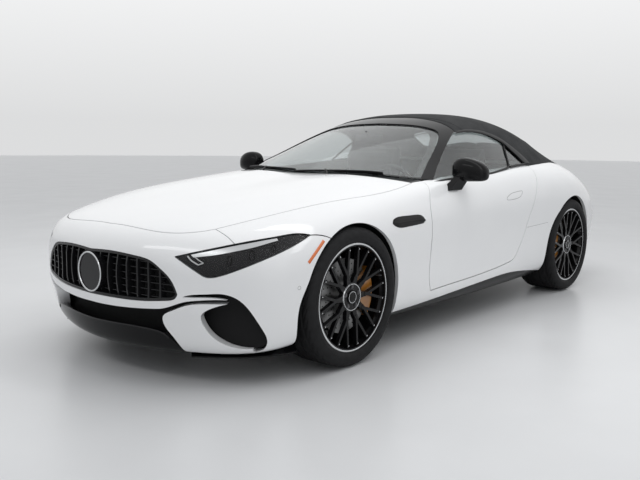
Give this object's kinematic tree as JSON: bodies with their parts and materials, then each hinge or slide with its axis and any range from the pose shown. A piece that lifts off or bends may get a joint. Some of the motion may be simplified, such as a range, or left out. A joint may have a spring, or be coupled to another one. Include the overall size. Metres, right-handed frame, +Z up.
{
  "type": "two-seat soft-top roadster car",
  "caption": "Two-door soft-top sports car with hollow cabin, steered front wheels, free-turning wheels, hinged doors, bonnet and boot lid.",
  "frame": {"origin": "on the ground below the middle of the car's box", "axes": "+X to the car's left, the nose towards -Y, +Z up"},
  "size_m": [2.12, 4.7063, 1.3524],
  "materials": {
    "paint": "gloss",
    "gloss_black": "gloss",
    "glass": "gloss",
    "roof_fabric": "matt",
    "lamp_lens": "gloss",
    "lamp_dark": "gloss",
    "tail_red": "gloss",
    "grille_metal": "satin",
    "caliper_paint": "gloss",
    "chassis_metal": "matt",
    "dark_plastic": "matt",
    "engine_metal": "satin",
    "cabin_leather": "satin",
    "seat_leather": "satin",
    "exhaust_steel": "satin",
    "tyre": "matt",
    "rim_black": "gloss",
    "disc_steel": "satin"
  },
  "bodies": {
    "shell": {"windscreen_frame": "gloss_black", "windscreen": "glass", "soft_top": "roof_fabric", "rear_windows": "glass", "front_fenders": "paint", "front_bumper": "paint", "splitter": "gloss_black", "side_trim": "gloss_black", "body_sides": "paint", "rear_bumper": "paint", "diffuser": "gloss_black", "headlamp_lenses": "lamp_lens", "headlamps": "lamp_dark", "tail_lamps": "tail_red", "grille": "grille_metal", "rear_calipers": "caliper_paint", "suspension": "chassis_metal", "floor_tub": "dark_plastic", "wheel_liners": "dark_plastic", "engine": "engine_metal", "dashboard": "cabin_leather", "seats": "seat_leather", "exhaust": "exhaust_steel", "radiator_shroud": "dark_plastic", "boot_tub": "dark_plastic", "front_rails": "chassis_metal"},
    "bonnet": {"hood": "paint"},
    "boot": {"boot_lid": "paint"},
    "left_door": {"door_left": "paint", "door_glass_left": "glass", "mirror_left": "gloss_black"},
    "right_door": {"door_right": "paint", "door_glass_right": "glass", "mirror_right": "gloss_black"},
    "steering": {"steering_wheel": "cabin_leather"},
    "left_knuckle": {"knuckle_fl": "chassis_metal", "caliper_fl": "caliper_paint"},
    "right_knuckle": {"knuckle_fr": "chassis_metal", "caliper_fr": "caliper_paint"},
    "wheel_front_left": {"tyre_fl": "tyre", "rim_fl": "rim_black", "brake_disc_fl": "disc_steel"},
    "wheel_front_right": {"tyre_fr": "tyre", "rim_fr": "rim_black", "brake_disc_fr": "disc_steel"},
    "wheel_rear_left": {"tyre_rl": "tyre", "rim_rl": "rim_black", "brake_disc_rl": "disc_steel"},
    "wheel_rear_right": {"tyre_rr": "tyre", "rim_rr": "rim_black", "brake_disc_rr": "disc_steel"}
  },
  "joints": [
    {"name": "spin_fl", "type": "hinge", "parent": "left_knuckle", "child": "wheel_front_left", "pos_m": [0.8, -1.412, 0.363], "axis": [1, 0, 0], "continuous": true},
    {"name": "spin_fr", "type": "hinge", "parent": "right_knuckle", "child": "wheel_front_right", "pos_m": [-0.8, -1.412, 0.363], "axis": [1, 0, 0], "continuous": true},
    {"name": "spin_rl", "type": "hinge", "parent": "shell", "child": "wheel_rear_left", "pos_m": [0.8, 1.288, 0.36], "axis": [1, 0, 0], "continuous": true},
    {"name": "spin_rr", "type": "hinge", "parent": "shell", "child": "wheel_rear_right", "pos_m": [-0.8, 1.288, 0.36], "axis": [1, 0, 0], "continuous": true},
    {"name": "steer_left", "type": "hinge", "parent": "shell", "child": "left_knuckle", "pos_m": [0.78, -1.412, 0.363], "axis": [0, 0, 1], "range_deg": [-32, 32]},
    {"name": "steer_right", "type": "hinge", "parent": "shell", "child": "right_knuckle", "pos_m": [-0.78, -1.412, 0.363], "axis": [0, 0, 1], "range_deg": [-32, 32]},
    {"name": "steering_turn", "type": "hinge", "parent": "shell", "child": "steering", "pos_m": [0.37, -0.285, 0.82], "axis": [0, 0.9272, 0.3746], "range_deg": [-390, 390]},
    {"name": "bonnet_lift", "type": "hinge", "parent": "shell", "child": "bonnet", "pos_m": [0, -0.735, 0.93], "axis": [-1, 0, 0], "range_deg": [0, 50]},
    {"name": "boot_lift", "type": "hinge", "parent": "shell", "child": "boot", "pos_m": [0, 1.63, 0.985], "axis": [1, 0, 0], "range_deg": [0, 62]},
    {"name": "door_swing_left", "type": "hinge", "parent": "shell", "child": "left_door", "pos_m": [0.925, -0.652, 0.6], "axis": [0, 0, -1], "range_deg": [0, 62]},
    {"name": "door_swing_right", "type": "hinge", "parent": "shell", "child": "right_door", "pos_m": [-0.925, -0.652, 0.6], "axis": [0, 0, 1], "range_deg": [0, 62]}
  ],
  "couplings": [
    {"joint": "steer_right", "follows": "steer_left", "ratio": 1},
    {"joint": "steering_turn", "follows": "steer_left", "ratio": 12}
  ]
}
